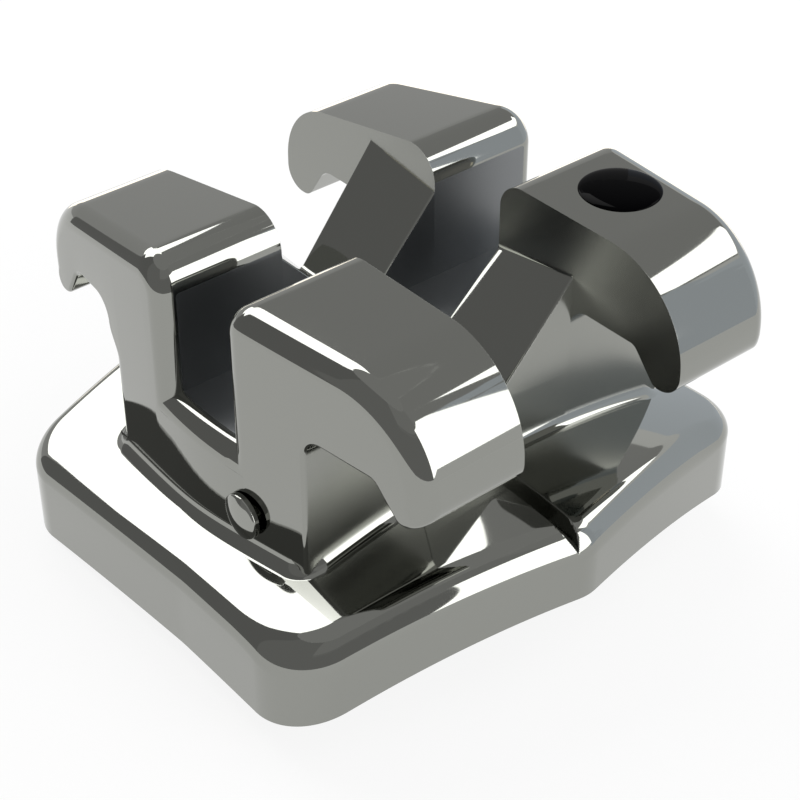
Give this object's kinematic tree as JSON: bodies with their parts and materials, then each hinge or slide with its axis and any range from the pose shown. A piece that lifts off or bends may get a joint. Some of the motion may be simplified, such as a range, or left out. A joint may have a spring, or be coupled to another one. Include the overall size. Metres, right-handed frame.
{
  "type": "orthodontic bracket",
  "caption": "Polished steel twin orthodontic bracket: archwire slot between four tie wings, on a curved pad that is bonded to the tooth.",
  "frame": {"origin": "middle of the archwire slot's floor", "axes": "+X along the slot from the mesial to the distal side, +Y from the gingival to the occlusal side, +Z out of the tooth"},
  "size_m": [0.0035, 0.0036, 0.0024],
  "materials": {
    "polished_steel": "electropolished stainless steel",
    "black_enamel": "glossy black enamel",
    "stud_steel": "polished stainless steel"
  },
  "bodies": {
    "root": {"casting": "polished_steel", "id_dot": "black_enamel", "mesial_stud": "stud_steel"}
  },
  "joints": []
}
